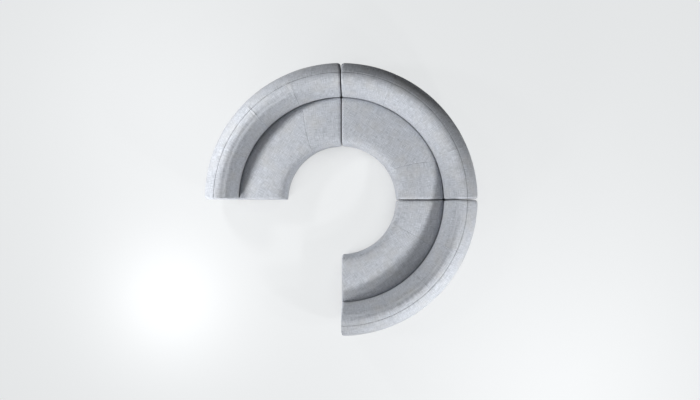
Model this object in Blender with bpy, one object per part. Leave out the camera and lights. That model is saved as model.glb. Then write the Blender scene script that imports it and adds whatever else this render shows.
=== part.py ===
"""Curved sofa: three quarter-ring modules that stand linked in a three-quarter ring.

Each module has a ribbed plywood frame, a foam seat and a foam back in sewn covers, a bulging
outer shell and four glides. The origin is the centre of the ring, on the floor, with +Z up.
The open quarter of the ring faces -X and -Y.
"""

import math

import bmesh
import bpy
from mathutils import Matrix, Vector

# Driving dimensions, in metres
INNER_RADIUS = 0.640
SEAT_DEPTH = 0.519
BACK_LEAN = 0.208
OUTER_BULGE = 0.157
FOOT_TUCK = 0.022
SEAT_HEIGHT = 0.440
BACK_HEIGHT = 0.750
SEAM_DROP = 0.007
HEM_HEIGHT = 0.022
MODULE_GAP = 0.012

# Soft parts
COVER_THICKNESS = 0.003
SEAT_EDGE_ROUND = 0.014
BACK_EDGE_ROUND = 0.020
FRONT_FOAM = 0.025
CREASE_FOAM = 0.033
ROLL_FOAM = 0.077

# Frame
BOARD_THICKNESS = 0.015
BACK_BOARD_THICKNESS = 0.009
SHELL_THICKNESS = 0.006
RAIL_THICKNESS = 0.018
RIB_THICKNESS = 0.018
DECK_TOP = 0.315
BACK_BOARD_HEAD = 0.060
END_SETBACK = 0.012

# Glides
GLIDE_RADIUS = 0.026
GLIDE_CHAMFER = 0.005
GLIDE_INSET = 0.050

# Links between the modules
LINK_SETBACK = 0.260
LINK_HEIGHT = 0.150
LINK_STEEL = 0.002
TONGUE_WIDTH = 0.040
POCKET_DEPTH = 0.028
POCKET_WALL = 0.005
FLANGE_HEIGHT = 0.018
FLANGE_WIDTH = 0.010
HOOK_PLATE_HEIGHT = 0.040

# Clearances and overruns
FIT = 0.0003
OVERRUN = 0.050
CUT_TOLERANCE = 0.000001
RIM_MATCH = 0.003

# Divisions
ARC_STEPS = 12
ROUND_STEPS = 2
GLIDE_SIDES = 12

QUARTER = math.pi / 2
STEP_ANGLE = QUARTER / ARC_STEPS
SHARP_ANGLE = math.radians(35)
ROUND_PROFILE = 0.5
CREASE_RADIUS = INNER_RADIUS + SEAT_DEPTH
SEAM_RADIUS = CREASE_RADIUS + BACK_LEAN
OUTER_RADIUS = SEAM_RADIUS + OUTER_BULGE
BASE_RADIUS = SEAM_RADIUS - FOOT_TUCK
LINK_RADIUS = INNER_RADIUS + LINK_SETBACK
SEAM_HEIGHT = BACK_HEIGHT - SEAM_DROP
RAIL_TOP = BACK_HEIGHT - COVER_THICKNESS - ROLL_FOAM
FRAME_FRONT = INNER_RADIUS + COVER_THICKNESS + FRONT_FOAM
BOARD_FOOT = CREASE_RADIUS + COVER_THICKNESS + CREASE_FOAM
DECK_REAR = BOARD_FOOT + BACK_BOARD_THICKNESS
PANEL_TOP = HEM_HEIGHT + BOARD_THICKNESS

MODULE_DIRECTIONS = {
    "left": QUARTER * 3 / 2,
    "middle": QUARTER / 2,
    "right": -QUARTER / 2,
}
GLIDE_TURN_SHARES = (-0.39, 0.39)
RIB_TURN_SHARES = (-1 / 6, 1 / 6)

# Seat: share of the seat depth, share of the height from hem to seat
SEAT_SHARES = (
    (0.020, 0.000),
    (0.000, 0.060),
    (0.000, 0.800),
    (0.018, 0.885),
    (0.055, 0.943),
    (0.125, 0.973),
    (0.280, 0.992),
    (0.500, 1.000),
    (0.740, 0.996),
    (0.900, 0.986),
    (0.966, 0.966),
    (0.992, 0.925),
    (1.000, 0.865),
)

# Inner side of the back: share of the way from crease to seam, share of the rise above the seat
BACK_INNER_SHARES = (
    (0.000, -0.130),
    (0.020, 0.070),
    (0.085, 0.280),
    (0.180, 0.485),
    (0.310, 0.695),
    (0.460, 0.865),
    (0.620, 0.962),
    (0.830, 1.000),
)

# Outer side of the back: share of the way from base to widest line, share of the height from
# hem to seam
BACK_OUTER_SHARES = (
    (0.280, 0.985),
    (0.500, 0.945),
    (0.730, 0.864),
    (0.900, 0.749),
    (0.985, 0.621),
    (1.000, 0.500),
    (0.950, 0.360),
    (0.770, 0.200),
    (0.410, 0.070),
    (0.000, 0.000),
)

FINISHES = {
    "wool": ((0.50, 0.51, 0.54), 0.90, 0.0),
    "foam": ((0.80, 0.76, 0.62), 0.95, 0.0),
    "plywood": ((0.62, 0.47, 0.30), 0.60, 0.0),
    "fibre_shell": ((0.12, 0.12, 0.13), 0.50, 0.0),
    "nylon": ((0.03, 0.03, 0.03), 0.45, 0.0),
    "zinc_steel": ((0.55, 0.56, 0.58), 0.35, 1.0),
}


def clear_scene():
    """Removes every object that is already in the scene."""
    for obj in list(bpy.data.objects):
        bpy.data.objects.remove(obj)


def finish(kind):
    """The Principled material of one kind, made once."""
    made = bpy.data.materials.get(kind)
    if made:
        return made
    colour, roughness, metallic = FINISHES[kind]
    made = bpy.data.materials.new(kind)
    made.use_nodes = True
    shader = made.node_tree.nodes["Principled BSDF"]
    shader.inputs["Base Color"].default_value = (*colour, 1.0)
    shader.inputs["Roughness"].default_value = roughness
    shader.inputs["Metallic"].default_value = metallic
    return made


def add_empty(name, turn):
    """An empty at the ring's centre, turned to face a module."""
    empty = bpy.data.objects.new(name, None)
    empty.rotation_euler.z = turn
    bpy.context.collection.objects.link(empty)
    return empty


def add_piece(name, bm, kind, parent):
    """Makes a finished bmesh an object under its module's empty."""
    bmesh.ops.recalc_face_normals(bm, faces=bm.faces)
    mesh = bpy.data.meshes.new(name)
    bm.to_mesh(mesh)
    bm.free()
    mesh.materials.append(finish(kind))
    mesh.shade_smooth()
    mesh.set_sharp_from_angle(angle=SHARP_ANGLE)
    obj = bpy.data.objects.new(name, mesh)
    obj.parent = parent
    bpy.context.collection.objects.link(obj)
    return obj


def combine(obj, bm, operation):
    """Cuts a shape out of an object, or joins it on, with a hidden helper object."""
    label = operation.lower()
    helper = add_piece(f"{obj.name}_{label}", bm, "foam", obj.parent)
    helper.hide_render = True
    helper.display_type = "WIRE"
    modifier = obj.modifiers.new(label, "BOOLEAN")
    modifier.operation = operation
    modifier.object = helper


# Section lines, as (radius, height) points with the solid on their right


def mix(start, end, share):
    """The value at a share of the way from start to end."""
    return start + (end - start) * share


def seat_line():
    """The seat's skin, from the front hem over the top and down the crease."""
    line = [
        (mix(INNER_RADIUS, CREASE_RADIUS, across), mix(HEM_HEIGHT, SEAT_HEIGHT, up))
        for across, up in SEAT_SHARES
    ]
    return line + [(CREASE_RADIUS, HEM_HEIGHT)]


def back_line():
    """The back's skin, up the crease, over the top and the seam to the outer hem."""
    start = CREASE_RADIUS + FIT
    inner = [
        (mix(start, SEAM_RADIUS, across), mix(SEAT_HEIGHT, BACK_HEIGHT, up))
        for across, up in BACK_INNER_SHARES
    ]
    outer = [
        (mix(BASE_RADIUS, OUTER_RADIUS, across), mix(HEM_HEIGHT, SEAM_HEIGHT, up))
        for across, up in BACK_OUTER_SHARES
    ]
    return [(start, HEM_HEIGHT), *inner, (SEAM_RADIUS, SEAM_HEIGHT), *outer]


def inset(line, distance):
    """The line moved into the solid with mitred corners, its ends kept at their heights."""
    normals = []
    for start, end in zip(line, line[1:]):
        along = Vector(end) - Vector(start)
        normals.append(Vector((along.y, -along.x)).normalized())
    moved = [(line[0][0] + distance / normals[0].x, line[0][1])]
    for point, before, after in zip(line[1:], normals, normals[1:]):
        across = before + after
        corner = Vector(point) + across * distance / across.dot(before)
        moved.append((corner.x, corner.y))
    moved.append((line[-1][0] + distance / normals[-1].x, line[-1][1]))
    return moved


def split_outer(line, height):
    """The back line in two: up to the outer point at a height, and from that point down."""
    for index, (start, end) in enumerate(zip(line, line[1:])):
        if start[1] >= height > end[1]:
            share = (height - start[1]) / (end[1] - start[1])
            crossing = (mix(start[0], end[0], share), height)
            return line[: index + 1] + [crossing], [crossing] + line[index + 1 :]
    raise ValueError("the back line doesn't come down through this height")


def board_line():
    """The front of the back board, from its foot on the deck to its head."""
    return (BOARD_FOOT, DECK_TOP + FIT), (SEAM_RADIUS - BACK_BOARD_HEAD, RAIL_TOP)


def shell_inside():
    """The inner side of the outer shell, from the rail's top down to the hem."""
    line = inset(back_line(), COVER_THICKNESS + FIT + SHELL_THICKNESS)
    return split_outer(line, RAIL_TOP)[1]


# Solids


def sweep(section):
    """A quarter ring of a closed section, centred on +X."""
    bm = bmesh.new()
    start = Matrix.Rotation(-QUARTER / 2, 3, "Z")
    verts = [bm.verts.new(start @ Vector((r, 0.0, z))) for r, z in section]
    face = bm.faces.new(verts)
    bmesh.ops.spin(
        bm,
        geom=[face, *face.edges, *face.verts],
        cent=(0.0, 0.0, 0.0),
        axis=(0.0, 0.0, 1.0),
        angle=QUARTER,
        steps=ARC_STEPS,
    )
    return bm


def cut_end(bm, side, setback):
    """Cuts one end of a quarter ring flat, parallel to the joint, and returns its rim."""
    outward = Matrix.Rotation(side * QUARTER / 2, 3, "Z") @ Vector((0.0, side, 0.0))
    cut = bmesh.ops.bisect_plane(
        bm,
        geom=bm.verts[:] + bm.edges[:] + bm.faces[:],
        dist=CUT_TOLERANCE,
        plane_co=-outward * (MODULE_GAP / 2 + setback),
        plane_no=outward,
        clear_outer=True,
    )
    rim = [item for item in cut["geom_cut"] if isinstance(item, bmesh.types.BMEdge)]
    bmesh.ops.contextual_create(bm, geom=rim)
    return rim


def follows(edge, line):
    """Whether a rim edge comes from a stretch of the line."""
    places = []
    for vert in edge.verts:
        for index, (r, z) in enumerate(line):
            if abs(vert.co.xy.length - r) < RIM_MATCH and abs(vert.co.z - z) < CUT_TOLERANCE:
                places.append(index)
    return len(places) == 2 and abs(places[0] - places[1]) == 1


def arc_solid(section, setback, rounding=0.0, soft=()):
    """A quarter ring of a section with flat ends, whose end edges are rounded along a line."""
    bm = sweep(section)
    rims = cut_end(bm, 1, setback) + cut_end(bm, -1, setback)
    edges = [edge for edge in rims if follows(edge, soft)]
    if edges:
        bmesh.ops.bevel(
            bm,
            geom=edges,
            offset=rounding,
            segments=ROUND_STEPS,
            profile=ROUND_PROFILE,
            affect="EDGES",
        )
    return bm


def ring_section(inner, outer, low, high):
    """A rectangular section."""
    return [(inner, low), (inner, high), (outer, high), (outer, low)]


def box(low, high):
    """A box between two corners."""
    bm = bmesh.new()
    low = Vector(low)
    high = Vector(high)
    bmesh.ops.create_cube(bm, size=1.0)
    bmesh.ops.scale(bm, vec=high - low, verts=bm.verts)
    bmesh.ops.translate(bm, vec=(low + high) / 2, verts=bm.verts)
    return bm


def plate(outline, thickness):
    """A flat board with its outline in the XZ plane, centred on Y."""
    bm = bmesh.new()
    verts = [bm.verts.new((x, -thickness / 2, z)) for x, z in outline]
    face = bm.faces.new(verts)
    grown = bmesh.ops.extrude_face_region(bm, geom=[face])
    moved = [item for item in grown["geom"] if isinstance(item, bmesh.types.BMVert)]
    bmesh.ops.translate(bm, vec=(0.0, thickness, 0.0), verts=moved)
    return bm


# Soft pieces


def skin(name, line, rounding, parent):
    """A sewn cover over a closed line, open below and where the frame passes from seat to back."""
    obj = add_piece(name, arc_solid(line, 0.0, rounding, line), "wool", parent)
    inside = inset(line, COVER_THICKNESS)
    low = HEM_HEIGHT - OVERRUN
    inside = [(inside[0][0], low), *inside, (inside[-1][0], low)]
    hollow = arc_solid(inside, COVER_THICKNESS, rounding - COVER_THICKNESS, inside)
    combine(obj, hollow, "DIFFERENCE")
    passage = ring_section(CREASE_RADIUS - OVERRUN, CREASE_RADIUS + OVERRUN, low, DECK_TOP + FIT)
    combine(obj, arc_solid(passage, END_SETBACK - FIT), "DIFFERENCE")


def seat_foam(name, parent):
    """The seat foam: a slab on the deck that also runs down the front."""
    depth = COVER_THICKNESS + FIT
    line = inset(seat_line(), depth)
    line[-1] = (line[-1][0], DECK_TOP + FIT)
    section = line + [(FRAME_FRONT - FIT, DECK_TOP + FIT), (FRAME_FRONT - FIT, HEM_HEIGHT)]
    add_piece(name, arc_solid(section, depth, SEAT_EDGE_ROUND - depth, line), "foam", parent)


def back_foam(name, parent):
    """The back foam: glued to the back board and rolled over the top rail."""
    depth = COVER_THICKNESS + FIT
    line = split_outer(inset(back_line(), depth), RAIL_TOP + FIT)[0]
    foot, head = board_line()
    line[0] = (line[0][0], foot[1])
    section = [(foot[0] - FIT, foot[1]), *line, (head[0] - FIT, RAIL_TOP + FIT)]
    add_piece(name, arc_solid(section, depth, BACK_EDGE_ROUND - depth, line), "foam", parent)


# Frame pieces


def bottom_panel(name, parent):
    """The plywood panel that closes the frame below."""
    section = ring_section(FRAME_FRONT, shell_inside()[-1][0] - FIT, HEM_HEIGHT, PANEL_TOP)
    add_piece(name, arc_solid(section, END_SETBACK), "plywood", parent)


def front_rail(name, parent):
    """The bent rail behind the front foam, from bottom panel to deck."""
    section = ring_section(
        FRAME_FRONT,
        FRAME_FRONT + RAIL_THICKNESS,
        PANEL_TOP + FIT,
        DECK_TOP - BOARD_THICKNESS - FIT,
    )
    add_piece(name, arc_solid(section, END_SETBACK), "plywood", parent)


def seat_deck(name, parent):
    """The plywood deck that carries the seat foam and the back board."""
    section = ring_section(FRAME_FRONT, DECK_REAR, DECK_TOP - BOARD_THICKNESS, DECK_TOP)
    add_piece(name, arc_solid(section, END_SETBACK), "plywood", parent)


def back_board(name, parent):
    """The leaning board behind the back foam."""
    front = board_line()
    rear = [(r + BACK_BOARD_THICKNESS, z) for r, z in reversed(front)]
    add_piece(name, arc_solid([*front, *rear], END_SETBACK), "plywood", parent)


def top_rail(name, parent):
    """The rail on the ribs, between back board and shell."""
    inner = board_line()[1][0] + BACK_BOARD_THICKNESS + FIT
    outer = shell_inside()[0][0] - FIT
    section = ring_section(inner, outer, RAIL_TOP - BOARD_THICKNESS, RAIL_TOP)
    add_piece(name, arc_solid(section, BACK_EDGE_ROUND), "plywood", parent)


def outer_shell(name, parent):
    """The bulging shell that carries the outer side of the cover."""
    outside = split_outer(inset(back_line(), COVER_THICKNESS + FIT), RAIL_TOP)[1]
    section = outside + shell_inside()[::-1]
    add_piece(name, arc_solid(section, BACK_EDGE_ROUND), "fibre_shell", parent)


def rib_outline(chord_drop):
    """The outline of a rib: under the deck, behind the back board and inside the shell."""
    under_deck = DECK_TOP - BOARD_THICKNESS - FIT
    under_rail = RAIL_TOP - BOARD_THICKNESS - FIT
    front = FRAME_FRONT + RAIL_THICKNESS + FIT
    foot, head = board_line()
    rise = (under_rail - foot[1]) / (head[1] - foot[1])
    behind_board = mix(foot[0], head[0], rise) + BACK_BOARD_THICKNESS + FIT
    line = inset(back_line(), COVER_THICKNESS + SHELL_THICKNESS + 2 * FIT + chord_drop)
    outer = split_outer(line, under_rail)[1]
    outer = split_outer(outer, PANEL_TOP + FIT)[0]
    return [
        (front, PANEL_TOP + FIT),
        (front, under_deck),
        (DECK_REAR + FIT, under_deck),
        (DECK_REAR + FIT, foot[1]),
        (behind_board, under_rail),
        *outer,
    ]


def ribs(prefix, parent):
    """Two end ribs along the joints and two ribs between them."""
    end_place = MODULE_GAP / 2 + END_SETBACK + RIB_THICKNESS / 2
    places = [(side * QUARTER / 2, -side * end_place) for side in (-1, 1)]
    places[1:1] = [(share * QUARTER, 0.0) for share in RIB_TURN_SHARES]
    for number, (turn, shift) in enumerate(places, 1):
        reach = abs(shift) + RIB_THICKNESS / 2
        outline = rib_outline(reach * math.tan(STEP_ANGLE / 2))
        bm = plate(outline, RIB_THICKNESS)
        bmesh.ops.translate(bm, vec=(0.0, shift, 0.0), verts=bm.verts)
        bmesh.ops.rotate(bm, matrix=Matrix.Rotation(turn, 3, "Z"), verts=bm.verts)
        add_piece(f"{prefix}_rib_{number}", bm, "plywood", parent)


def glides(prefix, parent):
    """Four glides under the bottom panel, with a chamfered foot."""
    height = HEM_HEIGHT - FIT
    inner = FRAME_FRONT + GLIDE_INSET
    outer = shell_inside()[-1][0] - GLIDE_INSET
    places = [(radius, share) for radius in (inner, outer) for share in GLIDE_TURN_SHARES]
    for number, (radius, share) in enumerate(places, 1):
        bm = bmesh.new()
        bmesh.ops.create_cone(
            bm,
            cap_ends=True,
            segments=GLIDE_SIDES,
            radius1=GLIDE_RADIUS,
            radius2=GLIDE_RADIUS,
            depth=height,
        )
        foot = [edge for edge in bm.edges if all(vert.co.z < 0.0 for vert in edge.verts)]
        bmesh.ops.bevel(
            bm,
            geom=foot,
            offset=GLIDE_CHAMFER,
            segments=1,
            profile=ROUND_PROFILE,
            affect="EDGES",
        )
        bmesh.ops.translate(bm, vec=(radius, 0.0, height / 2), verts=bm.verts)
        turn = Matrix.Rotation(share * QUARTER, 3, "Z")
        bmesh.ops.rotate(bm, matrix=turn, verts=bm.verts)
        add_piece(f"{prefix}_glide_{number}", bm, "nylon", parent)


# Links, built along +X with the joint in the XZ plane; the hook's module is at +Y


def socket_faces():
    """The Y places of a socket: face on the cover, plate front, pocket front, wall front."""
    face = -MODULE_GAP / 2 + FIT
    plate_front = face + LINK_STEEL
    pocket_front = plate_front + LINK_STEEL + 2 * FIT
    return face, plate_front, pocket_front, pocket_front + LINK_STEEL


def link_socket(name, turn, side):
    """A steel plate with a pocket for the neighbour's tongue, open above and below."""
    face, plate_front, pocket_front, wall_front = socket_faces()
    pocket_half = TONGUE_WIDTH / 2 + FIT
    sleeve_half = pocket_half + POCKET_WALL
    plate_half = sleeve_half + FLANGE_WIDTH
    pocket_top = LINK_HEIGHT + POCKET_DEPTH
    plate_solid = box(
        (LINK_RADIUS - plate_half, face, LINK_HEIGHT - FLANGE_HEIGHT),
        (LINK_RADIUS + plate_half, plate_front, pocket_top + FLANGE_HEIGHT),
    )
    sleeve = box(
        (LINK_RADIUS - sleeve_half, mix(face, plate_front, 0.5), LINK_HEIGHT),
        (LINK_RADIUS + sleeve_half, wall_front, pocket_top),
    )
    pocket = box(
        (LINK_RADIUS - pocket_half, plate_front, LINK_HEIGHT - OVERRUN),
        (LINK_RADIUS + pocket_half, pocket_front, pocket_top + OVERRUN),
    )
    parent = add_empty(f"{name}_joint", turn)
    parent.scale.y = side
    obj = add_piece(name, plate_solid, "zinc_steel", parent)
    combine(obj, sleeve, "UNION")
    combine(obj, pocket, "DIFFERENCE")


def link_hook(name, turn, side):
    """A steel plate bent over into a tongue that hangs in the neighbour's pocket."""
    plate_front = socket_faces()[1]
    tongue = (plate_front + FIT, plate_front + FIT + LINK_STEEL)
    base = (MODULE_GAP / 2 - FIT - LINK_STEEL, MODULE_GAP / 2 - FIT)
    step = LINK_HEIGHT + POCKET_DEPTH + FIT
    outline = [
        (tongue[0], LINK_HEIGHT),
        (tongue[0], step + LINK_STEEL),
        (base[0], step + LINK_STEEL),
        (base[0], step + HOOK_PLATE_HEIGHT),
        (base[1], step + HOOK_PLATE_HEIGHT),
        (base[1], step),
        (tongue[1], step),
        (tongue[1], LINK_HEIGHT),
    ]
    bm = plate(outline, TONGUE_WIDTH)
    bmesh.ops.rotate(bm, matrix=Matrix.Rotation(QUARTER, 3, "Z"), verts=bm.verts)
    bmesh.ops.translate(bm, vec=(LINK_RADIUS, 0.0, 0.0), verts=bm.verts)
    parent = add_empty(f"{name}_joint", turn)
    parent.scale.y = side
    add_piece(name, bm, "zinc_steel", parent)


def main():
    """Builds the three modules and their links."""
    clear_scene()
    for prefix, direction in MODULE_DIRECTIONS.items():
        parent = add_empty(f"{prefix}_module", direction)
        skin(f"{prefix}_seat_cover", seat_line(), SEAT_EDGE_ROUND, parent)
        skin(f"{prefix}_back_cover", back_line(), BACK_EDGE_ROUND, parent)
        seat_foam(f"{prefix}_seat_foam", parent)
        back_foam(f"{prefix}_back_foam", parent)
        outer_shell(f"{prefix}_outer_shell", parent)
        back_board(f"{prefix}_back_board", parent)
        top_rail(f"{prefix}_top_rail", parent)
        seat_deck(f"{prefix}_seat_deck", parent)
        front_rail(f"{prefix}_front_rail", parent)
        bottom_panel(f"{prefix}_bottom_panel", parent)
        ribs(prefix, parent)
        glides(prefix, parent)
    for prefix, turn, side in (("left", QUARTER, 1), ("right", 0.0, -1)):
        link_socket(f"middle_link_socket_{prefix}", turn, side)
        link_hook(f"{prefix}_link_hook", turn, side)


main()
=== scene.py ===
"""Looks for a curved modular sofa: wool upholstery, frame, links, floor, light and camera."""

import logging
import math
from dataclasses import dataclass, field
from enum import Enum

import bmesh
import bpy
from mathutils import Matrix, Vector, noise


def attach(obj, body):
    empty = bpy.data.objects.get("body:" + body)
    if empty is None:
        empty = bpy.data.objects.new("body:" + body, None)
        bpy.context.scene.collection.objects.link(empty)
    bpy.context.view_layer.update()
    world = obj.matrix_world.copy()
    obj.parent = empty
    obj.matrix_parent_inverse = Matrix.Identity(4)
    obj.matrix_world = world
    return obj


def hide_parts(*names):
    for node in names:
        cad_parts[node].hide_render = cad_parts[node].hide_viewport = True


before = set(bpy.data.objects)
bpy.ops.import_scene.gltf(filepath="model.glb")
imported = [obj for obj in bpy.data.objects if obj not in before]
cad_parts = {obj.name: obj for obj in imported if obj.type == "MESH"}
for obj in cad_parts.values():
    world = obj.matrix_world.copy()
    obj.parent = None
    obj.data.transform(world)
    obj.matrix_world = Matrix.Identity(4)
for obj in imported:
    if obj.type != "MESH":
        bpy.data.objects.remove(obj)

LOG = logging.getLogger("sofa")
QUARTER = math.pi / 2
# Two places along a seam are the same when they lie closer than this, in metres
SAME_PLACE = 0.0005
# At a sharp corner of a section the way inward grows to twice its length, and no more
LEAST_CORNER = 0.5


class Place(Enum):
    """The place of a module in the ring: its prefix, the turn of its middle and its seed."""

    LEFT = ("left", QUARTER * 3 / 2, 11)
    MIDDLE = ("middle", QUARTER / 2, 23)
    RIGHT = ("right", -QUARTER / 2, 37)

    @property
    def prefix(self) -> str:
        """The start of the module's node names."""
        return self.value[0]

    @property
    def turn(self) -> float:
        """The direction of the module's middle, from +X."""
        return self.value[1]

    @property
    def seed(self) -> int:
        """A number that makes the module's cloth its own."""
        return self.value[2]

    @property
    def body(self) -> str:
        """The name of the module's body."""
        return f"{self.prefix}_module"


@dataclass(frozen=True)
class RingSizes:
    """The sizes that all the modules share, in metres."""

    inner: float = 0.640
    crease: float = 1.159
    seam: float = 1.367
    outer: float = 1.524
    base: float = 1.345
    seat_height: float = 0.440
    back_height: float = 0.750
    seam_drop: float = 0.007
    hem: float = 0.022
    gap: float = 0.012
    fit: float = 0.0003


def mix(start: float, end: float, share: float) -> float:
    """The value at a share of the way from start to end."""
    return start + (end - start) * share


def shares(count: int) -> list[float]:
    """The even shares of a way in so many steps, from the first step to the end."""
    return [index / count for index in range(1, count + 1)]


def smooth_line(points: list[Vector], steps: int = 12) -> list[Vector]:
    """Draws a rounded line through section points.

    Args:
        points: The points that the line passes, in order.
        steps: How many pieces lie between two points.

    Returns:
        The points of the rounded line.
    """
    line = [points[0]]
    for index in range(len(points) - 1):
        start, end = points[index], points[index + 1]
        before = points[max(index - 1, 0)]
        after = points[min(index + 2, len(points) - 1)]
        reach = (end - start).length
        leave = (end - before).normalized() * reach / 3
        arrive = (after - start).normalized() * reach / 3
        knots = [p.to_3d() for p in (start, start + leave, end - arrive, end)]
        for t in shares(steps):
            weights = ((1 - t) ** 3, 3 * t * (1 - t) ** 2, 3 * t * t * (1 - t), t**3)
            line.append(sum((k * w for k, w in zip(knots, weights)), Vector()).to_2d())
    return line


def line_lengths(line: list[Vector]) -> list[float]:
    """Measures a line.

    Args:
        line: The points of the line.

    Returns:
        The length along the line at each of its points.
    """
    lengths = [0.0]
    for start, end in zip(line, line[1:]):
        lengths.append(lengths[-1] + (end - start).length)
    return lengths


def point_at(line: list[Vector], lengths: list[float], length: float) -> Vector:
    """Finds the point of a line at a length along it.

    Args:
        line: The points of the line.
        lengths: The length along the line at each of its points.
        length: The length to the point that is looked for.

    Returns:
        The point, or the line's end where the length is past it.
    """
    for index in range(len(lengths) - 1):
        if length <= lengths[index + 1]:
            span = lengths[index + 1] - lengths[index]
            return line[index].lerp(line[index + 1], (length - lengths[index]) / span)
    return line[-1].copy()


def hex_colour(code: str) -> tuple[float, float, float, float]:
    """Turns an sRGB hex colour to linear values.

    Args:
        code: Six hex digits.

    Returns:
        Linear red, green and blue, and an alpha of 1.
    """
    values = [int(code[index : index + 2], 16) / 255 for index in (0, 2, 4)]
    linear = [v / 12.92 if v <= 0.04045 else ((v + 0.055) / 1.055) ** 2.4 for v in values]
    return (*linear, 1.0)


def add_node(
    tree: bpy.types.NodeTree, kind: str, inputs: dict | None = None, **settings: object
) -> bpy.types.Node:
    """Adds a shader node.

    Args:
        tree: The tree that gets the node.
        kind: The node's type.
        inputs: Input name or number, to a value or to the socket that feeds it.
        settings: The node's own settings.

    Returns:
        The new node.
    """
    node = tree.nodes.new(kind)
    for name, value in settings.items():
        setattr(node, name, value)
    for name, value in (inputs or {}).items():
        if isinstance(value, bpy.types.NodeSocket):
            tree.links.new(value, node.inputs[name])
        else:
            node.inputs[name].default_value = value
    return node


def new_material(name: str) -> tuple[bpy.types.Material, bpy.types.NodeTree, bpy.types.Node]:
    """Starts a material.

    Args:
        name: The material's name.

    Returns:
        The material, its tree and its Principled shader.
    """
    made = bpy.data.materials.new(name)
    made.use_nodes = True
    return made, made.node_tree, made.node_tree.nodes["Principled BSDF"]


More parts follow.
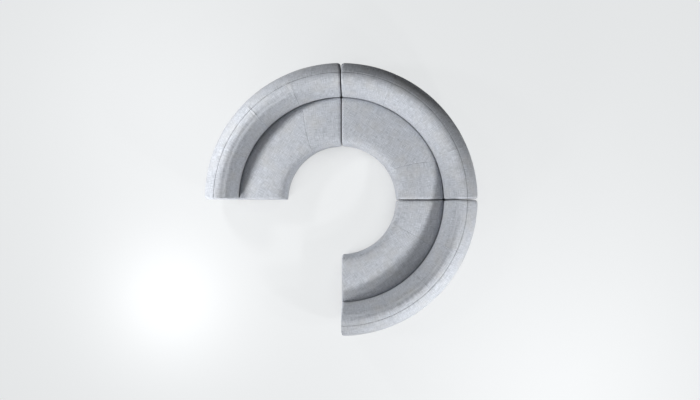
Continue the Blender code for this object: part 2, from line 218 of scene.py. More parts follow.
@dataclass(frozen=True)
class WoolCloth:
    """Melange wool in plain weave, steamed on: dull, pale bluish grey, with darker yarns.

    Each yarn is spun from light and dark fibres, so the eye sees faint streaks that cross at
    right angles along warp and weft, under a soft nap.
    """

    name: str = "melange_wool"
    pale: str = "C9CDD4"
    dark: str = "9EA2A9"
    # The colour of the painted shade along the seams, with their stitching
    seam: str = "55565A"
    warm: str = "B9B7B2"
    roughness: float = 0.93
    slub_length: float = 0.085
    slub_width: float = 0.007
    fibre_spread: float = 0.24
    yarn: float = 0.0045
    painted_seam_shade_width: float = 0.0045
    painted_seam_shade: float = 0.8
    cloud_size: float = 0.2
    cloud_share: float = 0.35
    weave_height: float = 0.0006
    weave_share: float = 0.35
    nap: float = 0.12
    nap_roughness: float = 0.5
    specular: float = 0.2

    def streaks(
        self, tree: bpy.types.NodeTree, place: bpy.types.NodeSocket
    ) -> bpy.types.NodeSocket:
        """The darker yarns of warp and weft.

        Args:
            tree: The material's tree.
            place: The cloth's own coordinates in metres.

        Returns:
            The socket with the share of dark fibre.
        """
        # The real slubs are 2 mm wide and are drawn 7 mm wide, so that they show at this distance
        long, wide = 1 / self.slub_length, 1 / self.slub_width
        yarns = []
        for scale in ((long, wide, 1.0), (wide, long, 1.0)):
            spot = add_node(tree, "ShaderNodeMapping", {"Vector": place, "Scale": scale})
            slub = add_node(
                tree,
                "ShaderNodeTexNoise",
                {"Vector": spot.outputs["Vector"], "Scale": 1.0, "Detail": 2.0, "Roughness": 0.7},
            )
            yarns.append(slub.outputs["Fac"])
        both = add_node(tree, "ShaderNodeMath", {0: yarns[0], 1: yarns[1]}, operation="ADD")
        fibres = add_node(
            tree,
            "ShaderNodeMapRange",
            {
                "Value": both.outputs[0],
                "From Min": 1 - self.fibre_spread,
                "From Max": 1 + self.fibre_spread,
            },
        )
        return fibres.outputs["Result"]

    def weave(self, tree: bpy.types.NodeTree, place: bpy.types.NodeSocket) -> bpy.types.NodeSocket:
        """The plain weave, one hump for each crossing of two yarns.

        Args:
            tree: The material's tree.
            place: The cloth's own coordinates in metres.

        Returns:
            The socket with the height.
        """
        # The real yarns lie 2 mm apart and are drawn 4.5 mm apart, so that the weave shows
        step = 2 * math.pi / self.yarn
        parts = add_node(tree, "ShaderNodeSeparateXYZ", {"Vector": place})
        waves = []
        for axis in ("X", "Y"):
            turn = add_node(
                tree, "ShaderNodeMath", {0: parts.outputs[axis], 1: step}, operation="MULTIPLY"
            )
            wave = add_node(tree, "ShaderNodeMath", {0: turn.outputs[0]}, operation="SINE")
            waves.append(wave.outputs[0])
        both = add_node(tree, "ShaderNodeMath", {0: waves[0], 1: waves[1]}, operation="MULTIPLY")
        return both.outputs[0]

    def material(self) -> bpy.types.Material:
        """Makes the material.

        Returns:
            The material, on the piece's own cloth map and seam attribute.
        """
        made, tree, shader = new_material(self.name)
        place = add_node(tree, "ShaderNodeUVMap", uv_map="cloth").outputs["UV"]
        fibres = self.streaks(tree, place)
        # A colour mix has inputs of the same name for each kind of data, so these go by number
        yarn = add_node(
            tree,
            "ShaderNodeMix",
            {0: fibres, 6: hex_colour(self.pale), 7: hex_colour(self.dark)},
            data_type="RGBA",
        )
        # Steaming and light leave broad clouds of a slightly warmer grey
        cloud = add_node(
            tree,
            "ShaderNodeTexNoise",
            {"Vector": place, "Scale": 1 / self.cloud_size, "Detail": 2.0},
        )
        warmth = add_node(
            tree,
            "ShaderNodeMapRange",
            {
                "Value": cloud.outputs["Fac"],
                "From Min": 0.45,
                "From Max": 0.75,
                "To Max": self.cloud_share,
            },
        )
        tinted = add_node(
            tree,
            "ShaderNodeMix",
            {0: warmth.outputs["Result"], 6: yarn.outputs[2], 7: hex_colour(self.warm)},
            data_type="RGBA",
        )
        # The pinched cloth at a seam holds shade and lint
        # Painted shade: the colour darkens along each seam, for the shade in its pinched groove
        # and for its stitching
        near = add_node(tree, "ShaderNodeAttribute", attribute_name="seam").outputs["Fac"]
        painted_seam_shade_factor = add_node(
            tree,
            "ShaderNodeMapRange",
            {
                "Value": near,
                "From Max": self.painted_seam_shade_width,
                "To Min": self.painted_seam_shade,
                "To Max": 0.0,
            },
        )
        # Mixes the painted seam shade into the cloth's colour
        sewn = add_node(
            tree,
            "ShaderNodeMix",
            {0: painted_seam_shade_factor.outputs["Result"], 6: tinted.outputs[2], 7: hex_colour(self.seam)},
            data_type="RGBA",
        )
        tree.links.new(sewn.outputs[2], shader.inputs["Base Color"])
        bump = add_node(
            tree,
            "ShaderNodeBump",
            {
                "Height": self.weave(tree, place),
                "Strength": self.weave_share,
                "Distance": self.weave_height,
            },
        )
        tree.links.new(bump.outputs["Normal"], shader.inputs["Normal"])
        shader.inputs["Roughness"].default_value = self.roughness
        shader.inputs["Sheen Weight"].default_value = self.nap
        shader.inputs["Sheen Roughness"].default_value = self.nap_roughness
        shader.inputs["Specular IOR Level"].default_value = self.specular
        return made


@dataclass(frozen=True)
class BirchPlywood:
    """Birch plywood, sawn and left raw: pale yellow veneer with long grain and striped edges."""

    name: str = "birch_plywood"
    veneer: str = "D9BE94"
    grain: str = "B8925F"
    glue: str = "7A5532"
    roughness: float = 0.6
    grain_length: float = 0.260
    grain_width: float = 0.006
    grain_depth: float = 0.0004
    ply: float = 0.0030
    ply_shade: float = 0.4
    ior: float = 1.5

    def material(self) -> bpy.types.Material:
        """Makes the material.

        Returns:
            The material, with veneer on level faces and stripes of plies on upright ones.
        """
        made, tree, shader = new_material(self.name)
        place = add_node(tree, "ShaderNodeTexCoord").outputs["Object"]
        long, wide = 1 / self.grain_length, 1 / self.grain_width
        spot = add_node(tree, "ShaderNodeMapping", {"Vector": place, "Scale": (long, wide, wide)})
        fibre = add_node(
            tree,
            "ShaderNodeTexNoise",
            {"Vector": spot.outputs["Vector"], "Scale": 1.0, "Detail": 4.0},
        )
        veneer = add_node(
            tree,
            "ShaderNodeMix",
            {0: fibre.outputs["Fac"], 6: hex_colour(self.veneer), 7: hex_colour(self.grain)},
            data_type="RGBA",
        )
        # Each ply is 1.5 mm thick, so light and dark plies repeat every 3 mm up an edge
        height = add_node(tree, "ShaderNodeSeparateXYZ", {"Vector": place}).outputs["Z"]
        turn = add_node(
            tree, "ShaderNodeMath", {0: height, 1: 2 * math.pi / self.ply}, operation="MULTIPLY"
        )
        stripe = add_node(tree, "ShaderNodeMath", {0: turn.outputs[0]}, operation="SINE")
        normal = add_node(tree, "ShaderNodeNewGeometry").outputs["Normal"]
        level = add_node(tree, "ShaderNodeSeparateXYZ", {"Vector": normal}).outputs["Z"]
        steep = add_node(tree, "ShaderNodeMath", {0: level}, operation="ABSOLUTE")
        edge = add_node(
            tree,
            "ShaderNodeMapRange",
            {
                "Value": steep.outputs[0],
                "From Max": 0.5,
                "To Min": self.ply_shade,
                "To Max": 0.0,
            },
        )
        share = add_node(
            tree,
            "ShaderNodeMath",
            {0: stripe.outputs[0], 1: edge.outputs["Result"]},
            operation="MULTIPLY",
        )
        board = add_node(
            tree,
            "ShaderNodeMix",
            {0: share.outputs[0], 6: veneer.outputs[2], 7: hex_colour(self.glue)},
            data_type="RGBA",
        )
        tree.links.new(board.outputs[2], shader.inputs["Base Color"])
        bump = add_node(
            tree,
            "ShaderNodeBump",
            {"Height": fibre.outputs["Fac"], "Strength": 0.3, "Distance": self.grain_depth},
        )
        tree.links.new(bump.outputs["Normal"], shader.inputs["Normal"])
        shader.inputs["Roughness"].default_value = self.roughness
        shader.inputs["IOR"].default_value = self.ior
        return made


@dataclass(frozen=True)
class SpeckledFinish:
    """A finish with a fine grain of its own: two near colours in specks, and a slight bump.

    It serves pressed fibre, whose felted fibres show as dull specks, moulded nylon, whose
    spark-eroded mould leaves a fine even grain, and zinc plate, whose crystals mottle the metal.
    """

    name: str
    colour: str
    speck: str
    speck_size: float
    roughness: float
    metallic: float = 0.0
    ior: float = 1.5
    bump: float = 0.0002
    gloss_spread: float = 0.08

    def material(self) -> bpy.types.Material:
        """Makes the material.

        Returns:
            The material, on Object coordinates.
        """
        made, tree, shader = new_material(self.name)
        place = add_node(tree, "ShaderNodeTexCoord").outputs["Object"]
        speck = add_node(
            tree,
            "ShaderNodeTexNoise",
            {"Vector": place, "Scale": 1 / self.speck_size, "Detail": 3.0},
        )
        colour = add_node(
            tree,
            "ShaderNodeMix",
            {0: speck.outputs["Fac"], 6: hex_colour(self.colour), 7: hex_colour(self.speck)},
            data_type="RGBA",
        )
        tree.links.new(colour.outputs[2], shader.inputs["Base Color"])
        gloss = add_node(
            tree,
            "ShaderNodeMapRange",
            {
                "Value": speck.outputs["Fac"],
                "To Min": self.roughness - self.gloss_spread,
                "To Max": self.roughness + self.gloss_spread,
            },
        )
        tree.links.new(gloss.outputs["Result"], shader.inputs["Roughness"])
        bump = add_node(
            tree,
            "ShaderNodeBump",
            {"Height": speck.outputs["Fac"], "Strength": 0.4, "Distance": self.bump},
        )
        tree.links.new(bump.outputs["Normal"], shader.inputs["Normal"])
        shader.inputs["Metallic"].default_value = self.metallic
        if not self.metallic:
            shader.inputs["IOR"].default_value = self.ior
        return made


@dataclass(frozen=True)
class Stations:
    """How closely a padded body is divided: evenly, with more stations at its seams and ends.

    The offsets are distances from a seam, on both sides, that get a station of their own. The
    end shares are the same at a rounded end, as shares of its rounding.
    """

    spacing: float = 0.017
    clear_share: float = 0.6
    offsets: tuple[float, ...] = (0.0, 0.0018, 0.0040, 0.0080, 0.0150)
    end_shares: tuple[float, ...] = (0.04, 0.14, 0.30, 0.52, 0.80, 1.15)

    @property
    def clear(self) -> float:
        """The distance that stays free beside gathered stations."""
        return self.spacing * self.clear_share

    def along(self, total: float, seams: list[float]) -> list[float]:
        """Spreads stations along a length and gathers more of them at the seams.

        Args:
            total: The length that the stations share.
            seams: The places of the seams.

        Returns:
            The stations in order, from 0 to the total.
        """
        sides = {round(s + side * o, 6) for s in seams for o in self.offsets for side in (-1, 1)}
        near = [place for place in sorted(sides) if 0.0 < place < total]
        reach = max(self.offsets) + self.clear
        count = max(1, round(total / self.spacing))
        even = [total * index / count for index in range(1, count)]
        kept = [place for place in even if all(abs(place - s) > reach for s in seams)]
        return sorted([0.0, *kept, *near, total])

    def between_ends(self, total: float, seams: list[float], rounding: float) -> list[float]:
        """Spreads stations as along does, with a few of their own at both rounded ends.

        Args:
            total: The length that the stations share.
            seams: The places of the seams.
            rounding: The radius of the rounded ends.

        Returns:
            The stations in order, from 0 to the total.
        """
        ends = [rounding * share for share in self.end_shares]
        reach = ends[-1] + self.clear
        kept = [place for place in self.along(total, seams) if reach < place < total - reach]
        return [0.0, *ends, *kept, *[total - end for end in reversed(ends)], total]


@dataclass(frozen=True)
class Sewing:
    """The cloth at its seams, in metres: pulled in at the stitches, with a lip on each side.

    A line seam runs along the body and a turn seam across it. A turn seam is pulled less tight,
    so its groove is shallow and its painted shade line is narrower.
    """

    line_groove: float = 0.0050
    line_groove_width: float = 0.0036
    turn_groove: float = 0.0007
    turn_groove_width: float = 0.0026
    turn_narrowing: float = 4.6
    lip: float = 0.0007
    lip_place: float = 0.009
    lip_width: float = 0.006

    def lift(self, line_near: float, turn_near: float) -> float:
        """Works out how far the cloth stands out beside its seams.

        Args:
            line_near: The distance from the nearest line seam.
            turn_near: The distance from the nearest turn seam.

        Returns:
            The height over the padding, which is below zero in a groove.
        """
        from_lip = min(turn_near, line_near) - self.lip_place
        lift = self.lip * math.exp(-((from_lip / self.lip_width) ** 2))
        lift -= self.turn_groove * math.exp(-((turn_near / self.turn_groove_width) ** 2))
        lift -= self.line_groove * math.exp(-((line_near / self.line_groove_width) ** 2))
        return lift

    def shade(self, line_near: float, turn_near: float) -> float:
        """The distance that the painted shade line of a seam is drawn by"""
        return min(line_near, turn_near * self.turn_narrowing)


@dataclass(frozen=True)
class Gathers:
    """The small folds beside a back's turn seams, and the hollow under its top roll, in metres.

    There is a strength for each turn seam. The folds fade along the section from two places
    beside the line seam, inside below zero, each with its spread and its share of the height.
    """

    strengths: tuple[float, ...]
    hollow: float
    step: float = 0.036
    reach: float = 0.075
    height: float = 0.0040
    folds: tuple[tuple[float, float, float], ...] = ((-0.045, 0.05, 1.0), (0.03, 0.03, 0.5))
    hollow_place: float = 0.097
    hollow_width: float = 0.022

    def lift(self, beside: list[float], off: float) -> float:
        """Works out how far the gathered cloth stands out.

        Args:
            beside: The distance from each turn seam, with its side as the sign.
            off: The distance from the line seam, inside below zero.

        Returns:
            The height over the padding, which is below zero in the hollow.
        """
        height = 0.0
        for side, strength in zip(beside, self.strengths):
            fade = math.exp(-((side / self.reach) ** 2))
            height += strength * fade * math.cos(2 * math.pi * side / self.step)
        along = sum(
            share * math.exp(-(((off - place) / spread) ** 2))
            for place, spread, share in self.folds
        )
        roll = self.hollow * math.exp(-(((off + self.hollow_place) / self.hollow_width) ** 2))
        return self.height * height * along - roll


@dataclass(frozen=True)
class Swelling:
    """The cloth simulation that lets the cloth of a padded body swell between its seams."""

    frames: int = 20
    held_rows: int = 2
    quality: int = 5
    mass: float = 0.05
    stretch: float = 8.0
    shear: float = 4.0
    bending: float = 0.4
    growth: float = 0.012
    pressure: float = 4.0

    def simulate(self, pad: bpy.types.Object, pins: str) -> bpy.types.Mesh:
        """Runs the simulation.

        Args:
            pad: The body that swells.
            pins: The name of the vertex group that stays where it is.

        Returns:
            The settled mesh, which lives as long as the body.
        """
        cloth = pad.modifiers.new("cloth", "CLOTH")
        cloth.settings.quality = self.quality
        cloth.settings.mass = self.mass
        cloth.settings.tension_stiffness = self.stretch
        cloth.settings.compression_stiffness = self.stretch
        cloth.settings.shear_stiffness = self.shear
        cloth.settings.bending_stiffness = self.bending
        cloth.settings.shrink_min = -self.growth
        cloth.settings.vertex_group_mass = pins
        cloth.settings.use_pressure = True
        cloth.settings.uniform_pressure_force = self.pressure
        cloth.settings.effector_weights.gravity = 0.0
        cloth.collision_settings.use_collision = False
        for number in range(1, self.frames + 1):
            bpy.context.scene.frame_set(number)
        return pad.evaluated_get(bpy.context.evaluated_depsgraph_get()).data


@dataclass
class Upholstery:
    """A padded body that is swept round a module from a closed section and then sewn.

    The skin is the part of the section that shows, and the rest of it is hidden. The places of
    line seams are lengths along the skin, and those of turn seams are shares of half the
    module's turn, from -1 to 1. The slant turns a seam that isn't quite radial, in radians.
    """

    name: str
    place: Place
    sizes: RingSizes
    skin: list[Vector]
    hidden: list[Vector]
    line_seams: list[float]
    turn_seams: list[float]
    rounding: float
    swell: float
    gathers: Gathers | None = None
    slant: float = 0.0
    slant_reach: float = 0.25
    softness: float = 0.0012
    softness_scale: float = 7.0
    hem_reach: float = 0.03
    far_from_seams: float = 0.05
    panel_offset: float = 3.17
    hidden_step: float = 0.05
    end_insets: tuple[tuple[float, float], ...] = (
        (0.0020, 0.0),
        (0.0020, -0.0020),
        (0.0030, 0.0020),
        (0.0200, 0.0),
    )
    division: Stations = Stations()
    sewing: Sewing = Sewing()
    swelling: Swelling = Swelling()
    rows: list[float] = field(init=False)
    section: list[Vector] = field(init=False)
    stations: list[float] = field(init=False)

    def __post_init__(self) -> None:
        """Spreads the rows along the section and the stations round the module."""
        lengths = line_lengths(self.skin)
        self.rows = self.division.along(lengths[-1], self.line_seams)
        self.section = [point_at(self.skin, lengths, row) for row in self.rows] + self.hidden
        half = QUARTER / 2 * self.sizes.seam
        seams = [half + share * half for share in self.turn_seams]
        places = self.division.between_ends(2 * half, seams, self.rounding)
        self.stations = [place / half - 1 for place in places]

    def inward(self) -> list[Vector]:
        """Finds the way into the padding.

        Returns:
            A direction at each point of the section, longer at corners.
        """
        count = len(self.section)
        normals = []
        for index, point in enumerate(self.section):
            before, after = self.section[index - 1], self.section[(index + 1) % count]
            edge_in = (point - before).normalized()
            edge_out = (after - point).normalized()
            tangent = (edge_in + edge_out).normalized()
            corner = max(LEAST_CORNER, math.sqrt((1 + edge_in.dot(edge_out)) / 2))
            normals.append(Vector((tangent.y, -tangent.x)) / corner)
        return normals

    def swept(self) -> bmesh.types.BMesh:
        """Sweeps the section round the module, with flat end planes and rounded ends.

        Returns:
            A tube without its end faces, whose vertices know their row and column.
        """
        normals = self.inward()
        bm = bmesh.new()
        row_layer = bm.verts.layers.int.new("row")
        verts = []
        for index, point in enumerate(self.section):
            vert = bm.verts.new((point.x, 0.0, point.y))
            vert[row_layer] = index
            verts.append(vert)
        edges = [bm.edges.new(pair) for pair in zip(verts, verts[1:] + verts[:1])]
        count = len(self.stations) - 1
        bmesh.ops.spin(
            bm,
            geom=verts + edges,
            cent=(0.0, 0.0, 0.0),
            axis=(0.0, 0.0, 1.0),
            angle=QUARTER,
            steps=count,
        )
        column_layer = bm.verts.layers.int.new("column")
        half_gap = self.sizes.gap / 2
        for vert in bm.verts:
            column = round(math.atan2(vert.co.y, vert.co.x) / QUARTER * count)
            vert[column_layer] = column
            row = vert[row_layer]
            radius, height = self.section[row]
            share = self.stations[column]
            end_turn = QUARTER / 2 - math.asin(half_gap / radius)
            turn = share * end_turn + self.slanted(share, radius)
            deep = (1 - abs(share)) * end_turn * radius
            if deep < self.rounding:
                reach = self.rounding - deep
                inset = self.rounding - math.sqrt(self.rounding**2 - reach**2)
                radius += normals[row].x * inset
                height += normals[row].y * inset
                end_turn = QUARTER / 2 - math.asin(half_gap / radius)
                turn = math.copysign(end_turn - deep / radius, share)
            vert.co = Vector((radius * math.cos(turn), radius * math.sin(turn), height))
        bmesh.ops.recalc_face_normals(bm, faces=bm.faces)
        return bm

    def slanted(self, share: float, radius: float) -> float:
        """Turns the stations near a seam that isn't quite radial.

        Args:
            share: The station's share of half the module's turn.
            radius: The distance from the ring's centre.

        Returns:
            The turn in radians.
        """
        if not self.slant:
            return 0.0
        nearest = min(abs(share - seam) for seam in self.turn_seams)
        across = (radius - self.sizes.inner) / (self.sizes.crease - self.sizes.inner)
        return self.slant * (1 - 2 * across) * math.exp(-((nearest / self.slant_reach) ** 2))

    def blow_up(self, bm: bmesh.types.BMesh) -> None:
        """Swells the cloth between its seams with a cloth simulation, and limits the move.

        Args:
            bm: The swept tube. Its seams, hems and ends stay where they are.
        """
        row_layer = bm.verts.layers.int["row"]
        column_layer = bm.verts.layers.int["column"]
        mesh = bpy.data.meshes.new("swelling")
        bm.verts.index_update()
        bm.to_mesh(mesh)
        pad = bpy.data.objects.new("swelling", mesh)
        bpy.context.collection.objects.link(pad)
        pins = pad.vertex_groups.new(name="pins")
        held = [vert.index for vert in bm.verts if self.held(vert[row_layer], vert[column_layer])]
        pins.add(held, 1.0, "REPLACE")
        settled = self.swelling.simulate(pad, pins.name)
        most = 0.0
        for vert in bm.verts:
            move = settled.vertices[vert.index].co - vert.co
            most = max(most, move.length)
            if move.length > 0.0:
                vert.co += move.normalized() * self.swell * math.tanh(move.length / self.swell)
        LOG.info("%s: cloth moved up to %.1f mm", self.name, most * 1000)
        bpy.data.objects.remove(pad)
        bpy.data.meshes.remove(mesh)
        bpy.context.scene.frame_set(1)

    def held(self, row: int, column: int) -> bool:
        """Finds out whether the cloth is held by a seam, a hem, the crease or an end.

        Args:
            row: The number of the row in the section.
            column: The number of the station round the module.

        Returns:
            Whether the simulation leaves the cloth where it is.
        """
        rim = self.swelling.held_rows
        if not rim <= row < len(self.rows) - rim or not rim <= column < len(self.stations) - rim:
            return True
        if min(abs(self.stations[column] - seam) for seam in self.turn_seams) < SAME_PLACE:
            return True
        return any(abs(self.rows[row] - seam) < SAME_PLACE for seam in self.line_seams)

    def sew(self, bm: bmesh.types.BMesh) -> None:
        """Pulls the seams in, gathers the cloth beside them and notes how near each seam is.

        Args:
            bm: The swelled tube, which gets an attribute for the seams' painted shade lines.
        """
        row_layer = bm.verts.layers.int["row"]
        column_layer = bm.verts.layers.int["column"]
        seam_layer = bm.verts.layers.float.new("seam")
        bm.normal_update()
        moved = []
        for vert in bm.verts:
            row, column = vert[row_layer], vert[column_layer]
            vert[seam_layer] = self.far_from_seams
            if row >= len(self.rows):
                continue
            run, share = self.rows[row], self.stations[column]
            arc = QUARTER / 2 * vert.co.xy.length
            beside = [(share - seam) * arc for seam in self.turn_seams]
            turn_near = min(abs(side) for side in beside)
            line_near = min([abs(run - seam) for seam in self.line_seams], default=1.0)
            # How near a seam is, which sets the painted shade along it
            vert[seam_layer] = self.sewing.shade(line_near, turn_near)
            lift = self.sewing.lift(line_near, turn_near)
            if self.gathers:
                lift += self.gathers.lift(beside, run - self.line_seams[0])
            spot = vert.co * self.softness_scale + Vector((self.place.seed, 0.0, 0.0))
            lift += self.softness * noise.noise(spot)
            deep = (1 - abs(share)) * arc
            hem = min(run, self.rows[-1] - run)
            lift *= min(1.0, deep / self.rounding) * min(1.0, hem / self.hem_reach)
            moved.append((vert, vert.normal * lift))
        for vert, move in moved:
            vert.co += move

    def close_ends(self, bm: bmesh.types.BMesh) -> None:
        """Closes both ends with a flat panel that is sewn in just inside the rim.

        Args:
            bm: The sewn tube, whose end faces get a mark for the cloth's coordinates.
        """
        column_layer = bm.verts.layers.int["column"]
        end_layer = bm.faces.layers.int.new("end")
        for end in (0, len(self.stations) - 1):
            rim = [e for e in bm.edges if all(v[column_layer] == end for v in e.verts)]
            panel = bmesh.ops.contextual_create(bm, geom=rim)["faces"]
            for face in panel:
                face[end_layer] = 1
            for thickness, depth in self.end_insets:
                ring = bmesh.ops.inset_region(bm, faces=panel, thickness=thickness, depth=depth)
                for face in ring["faces"]:
                    face[end_layer] = 1
        bmesh.ops.recalc_face_normals(bm, faces=bm.faces)

    def lay_cloth(self, bm: bmesh.types.BMesh) -> None:
        """Gives each face the cloth's own coordinates, straight within each sewn panel.

        Args:
            bm: The closed body, which gets a map in metres.
        """
        row_layer = bm.verts.layers.int["row"]
        column_layer = bm.verts.layers.int["column"]
        end_layer = bm.faces.layers.int["end"]
        uv_layer = bm.loops.layers.uv.new("cloth")
        hidden = [self.rows[-1] + self.hidden_step * (i + 1) for i in range(len(self.hidden))]
        along = self.rows + hidden
        bounds = [-1.0, *self.turn_seams, 1.0]
        for face in bm.faces:
            if face[end_layer]:
                for loop in face.loops:
                    loop[uv_layer].uv = (loop.vert.co.xy.length + self.place.seed, loop.vert.co.z)
                continue
            columns = [vert[column_layer] for vert in face.verts]
            share = (self.stations[min(columns)] + self.stations[max(columns)]) / 2
            panel = sum(1 for seam in self.turn_seams if seam < share)
            middle = (bounds[panel] + bounds[panel + 1]) / 2 * QUARTER / 2
            for loop in face.loops:
                co = loop.vert.co
                radius = co.xy.length
                turn = math.atan2(co.y, co.x) - middle
                level = abs(loop.vert.normal.z)
                loop[uv_layer].uv = (
                    radius * math.sin(turn) + panel * self.panel_offset + self.place.seed,
                    along[loop.vert[row_layer]] - radius * (1 - math.cos(turn)) * level,
                )

    def build(self) -> bpy.types.Object:
        """Sweeps, swells, sews and closes the body.

        Returns:
            The finished piece, in its module's place.
        """
        bm = self.swept()
        self.blow_up(bm)
        self.sew(bm)
        self.close_ends(bm)
        self.lay_cloth(bm)
        bmesh.ops.rotate(bm, matrix=Matrix.Rotation(self.place.turn, 3, "Z"), verts=bm.verts)
        mesh = bpy.data.meshes.new(self.name)
        bm.to_mesh(mesh)
        bm.free()
        mesh.shade_smooth()
        piece = bpy.data.objects.new(self.name, mesh)
        bpy.context.collection.objects.link(piece)
        smooth = piece.modifiers.new("smooth", "SUBSURF")
        smooth.levels = smooth.render_levels = 1
        return piece


@dataclass
class SofaModule:
    """One quarter of the ring: a padded seat and a padded back on a frame."""

    place: Place
    sizes: RingSizes = field(default_factory=RingSizes)
    seat_shares: tuple = (
        (0.012, 0.000),
        (0.002, 0.120),
        (-0.004, 0.400),
        (0.000, 0.700),
        (0.006, 0.820),
        (0.022, 0.895),
        (0.055, 0.943),
        (0.125, 0.973),
        (0.280, 0.992),
        (0.500, 1.000),
        (0.740, 0.996),
        (0.900, 0.986),
        (0.966, 0.966),
        (0.992, 0.925),
        (1.000, 0.865),
    )
    back_inner_shares: tuple = (
        (0.000, -0.130),
        (0.020, 0.070),
        (0.082, 0.274),
        (0.168, 0.468),
        (0.274, 0.645),
        (0.399, 0.806),
        (0.510, 0.903),
        (0.630, 0.968),
        (0.774, 1.000),
        (0.900, 1.000),
    )
    back_outer_shares: tuple = (
        (0.280, 0.985),
        (0.500, 0.945),
        (0.730, 0.864),
        (0.900, 0.749),
        (0.985, 0.621),
        (1.000, 0.500),
        (0.950, 0.360),
        (0.780, 0.200),
        (0.430, 0.070),
        (0.050, 0.000),
    )
    back_seams: tuple = (-0.48, 0.0, 0.47)
    floor_lift: float = 0.004
    under_inset: float = 0.006
    side_steps: int = 5
    seat_under_steps: int = 4
    back_under_steps: int = 3
    seat_rounding: float = 0.016
    back_rounding: float = 0.024
    seat_swell: float = 0.0022
    back_swell: float = 0.0028
    seat_fill: float = 0.9
    back_fill: float = 0.95

    def seat_seam(self) -> tuple[float, float]:
        """Places the seam across the seat.

        Returns:
            Its share of half the module's turn, and its slant in radians.
        """
        return {
            Place.LEFT: (-0.415, math.radians(4.6)),
            Place.MIDDLE: (-0.410, math.radians(4.6)),
            Place.RIGHT: (0.430, math.radians(1.2)),
        }[self.place]

    def back_gathers(self) -> tuple[float, float, float]:
        """Chooses how strongly the back's cloth is gathered.

        Returns:
            A strength for each of the back's turn seams.
        """
        return {
            Place.LEFT: (0.25, 1.00, 0.40),
            Place.MIDDLE: (0.35, 0.50, 0.25),
            Place.RIGHT: (0.20, 0.30, 0.20),
        }[self.place]

    def roll_hollow(self) -> float:
        """How deep the padding sinks in under the top roll."""
        return {Place.LEFT: 0.0080, Place.MIDDLE: 0.0020, Place.RIGHT: 0.0080}[self.place]

    def seat(self) -> bpy.types.Object:
        """Makes the padded seat, with its front and its side in the crease.

        Returns:
            The finished piece, which stands for the seat's cover and foam.
        """
        s = self.sizes
        points = [
            Vector((mix(s.inner, s.crease, across), mix(s.hem, s.seat_height, up)))
            for across, up in self.seat_shares
        ]
        skin = smooth_line(points)
        floor = s.hem + self.floor_lift
        front = points[0].x + self.under_inset
        low = [Vector((s.crease, mix(skin[-1].y, floor, t))) for t in shares(self.side_steps)]
        under = [Vector((mix(s.crease, front, t), floor)) for t in shares(self.seat_under_steps)]
        seam, slant = self.seat_seam()
        body = Upholstery(
            name=f"{self.place.prefix}_seat",
            place=self.place,
            sizes=s,
            skin=skin,
            hidden=low + under,
            line_seams=[],
            turn_seams=[seam],
            rounding=self.seat_rounding,
            swell=self.seat_swell,
            slant=slant,
        )
        piece = body.build()
        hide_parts(f"{self.place.prefix}_seat_cover", f"{self.place.prefix}_seat_foam")
        return piece

    def back(self) -> bpy.types.Object:
        """Makes the padded back, with the seam along its top and its bulging outer side.

        Returns:
            The finished piece, which stands for the back's cover and foam.
        """
        s = self.sizes
        start = s.crease + s.fit
        inner = [
            Vector((mix(start, s.seam, across), mix(s.seat_height, s.back_height, up)))
            for across, up in self.back_inner_shares
        ]
        corner = Vector((s.seam, s.back_height - s.seam_drop))
        outer = [
            Vector((mix(s.base, s.outer, across), mix(s.hem, corner.y, up)))
            for across, up in self.back_outer_shares
        ]
        skin = smooth_line([*inner, corner, *outer])
        lengths = line_lengths(skin)
        seam = min(zip(skin, lengths), key=lambda item: (item[0] - corner).length)[1]
        floor = s.hem + self.floor_lift
        rear = skin[-1].x - self.under_inset
        steps = [0.0, *shares(self.back_under_steps)]
        under = [Vector((mix(rear, start, t), floor)) for t in steps]
        low = [Vector((start, mix(floor, skin[0].y, t))) for t in shares(self.side_steps)[:-1]]
        body = Upholstery(
            name=f"{self.place.prefix}_back",
            place=self.place,
            sizes=s,
            skin=skin,
            hidden=under + low,
            line_seams=[seam],
            turn_seams=list(self.back_seams),
            gathers=Gathers(self.back_gathers(), self.roll_hollow()),
            rounding=self.back_rounding,
            swell=self.back_swell,
        )
        piece = body.build()
        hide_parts(f"{self.place.prefix}_back_cover", f"{self.place.prefix}_back_foam")
        return piece

    def build(self, cloth: bpy.types.Material) -> None:
        """Builds, dresses and reports the module's pieces.

        Args:
            cloth: The material of seat and back.
        """
        for piece, fill in ((self.seat(), self.seat_fill), (self.back(), self.back_fill)):
            piece.data.materials.append(cloth)
            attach(piece, self.place.body)
            LOG.info("%s: %d faces", piece.name, len(piece.data.polygons))


@dataclass
class Carcass:
    """The frame, glides and links, which keep their CAD shape and get their finishes."""

    plywood: BirchPlywood = field(default_factory=BirchPlywood)
    fibre: SpeckledFinish = SpeckledFinish("pressed_fibre", "26262A", "3A3A3E", 0.003, 0.75)
    nylon: SpeckledFinish = SpeckledFinish(
        "moulded_nylon", "141415", "1E1E20", 0.0012, 0.45, ior=1.53
    )
    zinc: SpeckledFinish = SpeckledFinish(
        "zinc_plated_steel", "C3C6CA", "A9ADB3", 0.008, 0.34, metallic=1.0
    )

    def dress(self) -> None:
        """Gives each CAD node that stays in view its finish."""
        finishes = {
            "rail": self.plywood,
            "deck": self.plywood,
            "board": self.plywood,
            "panel": self.plywood,
            "rib": self.plywood,
            "shell": self.fibre,
            "glide": self.nylon,
            "link": self.zinc,
        }
        made = {}
        for name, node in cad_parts.items():
            for word, finish in finishes.items():
                if word in name:
                    if finish.name not in made:
                        made[finish.name] = finish.material()
                    for slot in node.material_slots:
                        slot.material = made[finish.name]
                    LOG.info("%s: %s", name, finish.name)


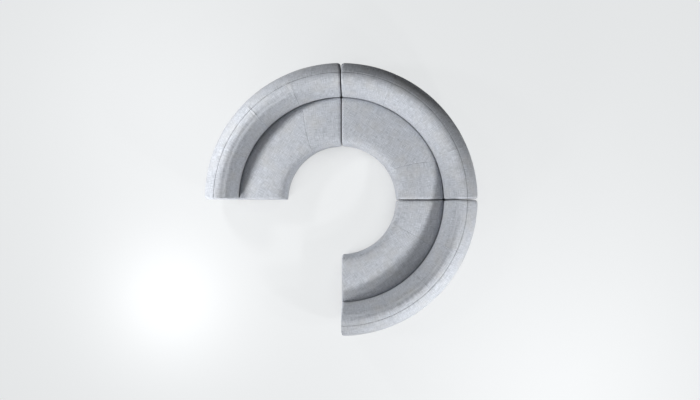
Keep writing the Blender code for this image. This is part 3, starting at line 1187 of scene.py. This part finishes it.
@dataclass(frozen=True)
class Lamp:
    """A round soft lamp: its direction in degrees, then its distance and height in metres."""

    name: str
    turn: float
    distance: float
    height: float
    power: float
    radius: float = 0.18

    def light(self) -> None:
        """Sets the lamp up."""
        data = bpy.data.lights.new(self.name, "POINT")
        data.energy = self.power
        data.shadow_soft_size = self.radius
        lamp = bpy.data.objects.new(self.name, data)
        turn = math.radians(self.turn)
        out, up = self.distance, self.height
        lamp.location = (out * math.cos(turn), out * math.sin(turn), up)
        bpy.context.collection.objects.link(lamp)


@dataclass(frozen=True)
class FarLamp:
    """A far soft lamp: the direction that it shines from and its rise, both in degrees."""

    name: str
    turn: float
    rise: float
    strength: float
    spread: float = 8.0

    def light(self) -> None:
        """Sets the lamp up."""
        data = bpy.data.lights.new(self.name, "SUN")
        data.energy = self.strength
        data.angle = math.radians(self.spread)
        lamp = bpy.data.objects.new(self.name, data)
        lamp.rotation_euler = (0.0, math.radians(90.0 - self.rise), math.radians(self.turn))
        bpy.context.collection.objects.link(lamp)


@dataclass
class Studio:
    """The pale floor, the lamps and the camera above the ring."""

    camera_place: tuple[float, float, float] = (0.185, -0.100, 7.0)
    camera_tilt: tuple[float, float] = (-0.41, 0.38)
    lens: float = 29.947
    shift: tuple[float, float] = (-0.0054, 0.0184)
    sensor: float = 36.0
    sight: float = 100.0
    sky: float = 0.02
    white: str = "FFFFFF"
    floor_radius: float = 30.0
    floor_colour: str = "E2E3E5"
    floor_seen: str = "EDEFF0"
    floor_glow: float = 0.86
    floor_roughness: float = 0.9
    # How far and how strongly the floor's glow gives way to painted shade near the sofa
    painted_shade_reach: float = 0.8
    painted_shade_range: tuple[float, float] = (0.1, 0.5)
    lights: tuple[Lamp | FarLamp, ...] = (
        Lamp("key_lamp", 315.0, 3.6, 2.64, 355.0),
        Lamp("second_lamp", 330.0, 3.6, 3.06, 170.0),
        Lamp("back_lamp", 150.0, 2.4, 2.15, 178.0),
        Lamp("low_lamp", 210.0, 2.4, 0.94, 85.0),
        FarLamp("west_light", 165.0, 45.0, 0.36),
        FarLamp("low_light", 225.0, 16.0, 0.85),
    )

    def floor(self) -> None:
        """The pale floor."""
        bm = bmesh.new()
        bmesh.ops.create_circle(bm, cap_ends=True, segments=64, radius=self.floor_radius)
        mesh = bpy.data.meshes.new("floor")
        bm.to_mesh(mesh)
        bm.free()
        obj = bpy.data.objects.new("floor", mesh)
        bpy.context.collection.objects.link(obj)
        mesh.materials.append(self.floor_finish())

    def floor_finish(self) -> bpy.types.Material:
        """Makes the floor's material.

        Returns:
            A matt pale material that looks whiter to the camera than the light on it makes it,
            with painted shade where the sofa stands close over it.
        """
        made, tree, shader = new_material("floor")
        shader.inputs["Base Color"].default_value = hex_colour(self.floor_colour)
        shader.inputs["Roughness"].default_value = self.floor_roughness
        rays = add_node(tree, "ShaderNodeLightPath")
        seen = add_node(
            tree,
            "ShaderNodeMath",
            {0: rays.outputs["Is Camera Ray"], 1: rays.outputs["Is Glossy Ray"]},
            operation="MAXIMUM",
        )
        # Painted shade: the floor glows less where the sofa stands close over it, so gaps and
        # contacts stay dark
        painted_shade_ao = add_node(
            tree, "ShaderNodeAmbientOcclusion", {"Distance": self.painted_shade_reach}, samples=4
        )
        clear = add_node(
            tree,
            "ShaderNodeMapRange",
            {
                "Value": painted_shade_ao.outputs["AO"],
                "From Min": self.painted_shade_range[0],
                "From Max": self.painted_shade_range[1],
                "To Max": self.floor_glow,
            },
        )
        share = add_node(
            tree,
            "ShaderNodeMath",
            {0: seen.outputs[0], 1: clear.outputs["Result"]},
            operation="MULTIPLY",
        )
        glow = add_node(
            tree, "ShaderNodeEmission", {"Color": hex_colour(self.floor_seen), "Strength": 1.0}
        )
        both = add_node(
            tree,
            "ShaderNodeMixShader",
            {0: share.outputs[0], 1: shader.outputs["BSDF"], 2: glow.outputs["Emission"]},
        )
        tree.links.new(both.outputs["Shader"], tree.nodes["Material Output"].inputs["Surface"])
        return made

    def lamps(self) -> None:
        """The lamps and a faint even sky, which the camera sees as white."""
        for lamp in self.lights:
            lamp.light()
        world = bpy.data.worlds.new("studio")
        bpy.context.scene.world = world
        world.use_nodes = True
        tree = world.node_tree
        faint = tree.nodes["Background"]
        faint.inputs["Color"].default_value = hex_colour(self.white)
        faint.inputs["Strength"].default_value = self.sky
        white = add_node(
            tree, "ShaderNodeBackground", {"Color": hex_colour(self.white), "Strength": 1.0}
        )
        rays = add_node(tree, "ShaderNodeLightPath")
        both = add_node(
            tree,
            "ShaderNodeMixShader",
            {
                0: rays.outputs["Is Camera Ray"],
                1: faint.outputs["Background"],
                2: white.outputs["Background"],
            },
        )
        tree.links.new(both.outputs["Shader"], tree.nodes["World Output"].inputs["Surface"])

    def camera(self) -> None:
        """The camera, which looks straight down as the photograph does."""
        data = bpy.data.cameras.new("camera")
        data.sensor_width = self.sensor
        data.lens = self.lens
        data.shift_x, data.shift_y = self.shift
        data.clip_end = self.sight
        camera = bpy.data.objects.new("camera", data)
        camera.location = self.camera_place
        camera.rotation_euler = (*(math.radians(tilt) for tilt in self.camera_tilt), 0.0)
        bpy.context.collection.objects.link(camera)
        bpy.context.scene.camera = camera

    def build(self) -> None:
        """Sets the studio up."""
        self.floor()
        self.lamps()
        self.camera()
        bpy.context.scene.view_settings.view_transform = "Standard"


def main() -> None:
    """Builds the modules and the studio in order."""
    logging.basicConfig(level=logging.INFO, format="%(name)s: %(message)s")
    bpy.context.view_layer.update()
    cloth = WoolCloth().material()
    for place in Place:
        SofaModule(place).build(cloth)
    Carcass().dress()
    Studio().build()


if __name__ == "__main__":
    main()
